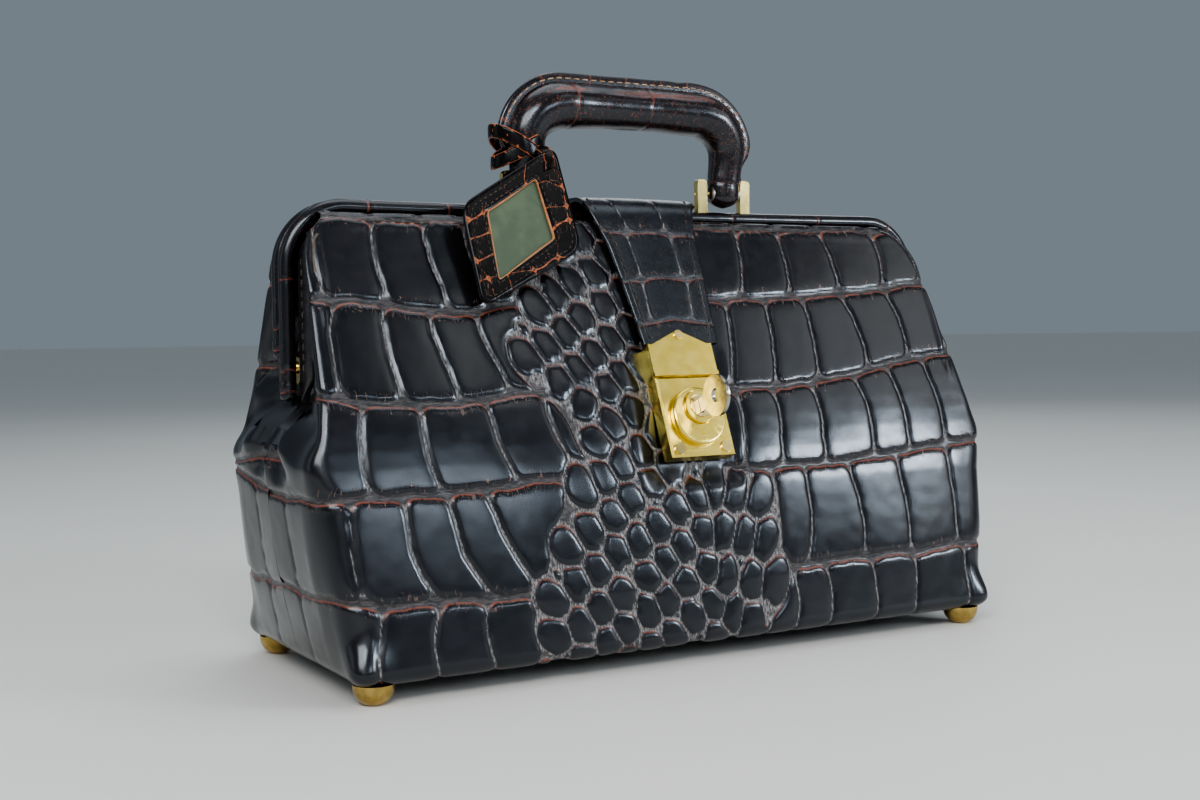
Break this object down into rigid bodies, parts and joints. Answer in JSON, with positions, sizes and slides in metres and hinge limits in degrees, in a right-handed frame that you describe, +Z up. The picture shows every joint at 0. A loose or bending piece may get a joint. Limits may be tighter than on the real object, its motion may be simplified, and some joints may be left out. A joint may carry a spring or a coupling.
{
  "type": "doctor bag",
  "caption": "Doctor bag in scaled leather with a hinged double frame, front lock with key, strap with hasp, arched carrying handle and a hanging luggage tag.",
  "frame": {"origin": "on the floor under the middle of the whole object, the key included", "axes": "+X along the frame to the right as seen from the front, +Y from the lock side to the back, +Z up"},
  "size_m": [0.423, 0.1814, 0.3142],
  "materials": {
    "crocodile_leather": "glossy scaled, worn red-brown on the ridges",
    "frame_leather": "glossy, worn red-brown",
    "flange_leather": "satin, stitched",
    "handle_leather": "glossy with tan stitches along the welt",
    "strap_leather": "worn, speckled brown",
    "strap_lining": "olive, matt",
    "tag_leather": "scaled with raw tan edges",
    "tag_card": "green, matt",
    "lining_cloth": "plain woven",
    "base_board": "stiff grey-brown board",
    "brass": "satin, slightly tarnished",
    "key_steel": "worn, darkened in the recesses",
    "steel": "plain"
  },
  "bodies": {
    "body": {"base_panel": "crocodile_leather", "base_board": "base_board", "front_panel_lower": "crocodile_leather", "back_panel_lower": "crocodile_leather", "end_panel_left": "crocodile_leather", "end_panel_right": "crocodile_leather", "hinge_stays": "crocodile_leather", "gusset_folds": "crocodile_leather", "lining_tray": "lining_cloth", "feet": "brass", "foot_screws": "steel", "hinge_rivets": "brass", "hinge_washers": "brass"},
    "front_jaw": {"front_frame_steel": "steel", "front_frame_cover": "frame_leather", "front_leg_caps": "frame_leather", "front_hinge_tabs": "steel", "front_flange": "flange_leather", "front_panel_upper": "crocodile_leather", "front_rim_strips": "crocodile_leather", "front_lining": "lining_cloth", "lock_body": "brass", "lock_back_plate": "steel", "lock_screws": "brass", "lock_rivets": "brass", "lock_bezel": "brass", "lock_boss": "brass", "handle_brackets": "brass", "handle_pins": "steel"},
    "back_jaw": {"back_frame_steel": "steel", "back_frame_cover": "frame_leather", "back_hinge_tabs": "steel", "back_flange": "flange_leather", "back_panel_upper": "crocodile_leather", "back_rim_strips": "crocodile_leather", "back_lining": "lining_cloth", "strap_anchor": "strap_leather", "anchor_rivets": "brass"},
    "strap": {"strap": "strap_leather", "strap_lining": "strap_lining", "hasp_plate": "brass", "hasp_rivet": "brass", "hasp_tongue": "brass"},
    "handle": {"handle_core": "steel", "handle_grip": "handle_leather", "handle_welt": "handle_leather", "tag_loop": "tag_leather"},
    "tag": {"tag_front": "tag_leather", "tag_back": "tag_leather", "tag_card": "tag_card"},
    "key": {"key": "key_steel", "key_plug": "brass"},
    "bolt": {"lock_bolt": "steel"}
  },
  "joints": [
    {"name": "front_jaw_open", "type": "hinge", "parent": "body", "child": "front_jaw", "pos_m": [0, 0.00872, 0.157], "axis": [1, 0, 0], "range_deg": [0, 18]},
    {"name": "back_jaw_open", "type": "hinge", "parent": "body", "child": "back_jaw", "pos_m": [0, 0.00872, 0.157], "axis": [1, 0, 0], "range_deg": [-18, 0]},
    {"name": "strap_flip", "type": "hinge", "parent": "back_jaw", "child": "strap", "pos_m": [0, 0.01672, 0.245], "axis": [1, 0, 0], "range_deg": [-54, 0]},
    {"name": "handle_swing", "type": "hinge", "parent": "front_jaw", "child": "handle", "pos_m": [0, 0.00372, 0.2515], "axis": [1, 0, 0], "range_deg": [-10, 80]},
    {"name": "tag_swing", "type": "hinge", "parent": "handle", "child": "tag", "pos_m": [-0.0663, -0.01028, 0.272], "axis": [1, 0, 0], "range_deg": [-85, 11]},
    {"name": "key_turn", "type": "hinge", "parent": "front_jaw", "child": "key", "pos_m": [0, -0.05931, 0.13139], "axis": [0, -0.9282, 0.3721], "range_deg": [-90, 0]},
    {"name": "bolt_slide", "type": "slide", "parent": "front_jaw", "child": "bolt", "axis": [0, 0.3721, 0.9282], "range_m": [0, 0.0056]}
  ],
  "couplings": [
    {"joint": "back_jaw_open", "follows": "front_jaw_open", "ratio": -1},
    {"joint": "strap_flip", "follows": "front_jaw_open", "ratio": -3},
    {"joint": "tag_swing", "follows": "handle_swing", "ratio": -1.06},
    {"joint": "bolt_slide", "follows": "key_turn", "m_per_rad": -0.0035}
  ]
}
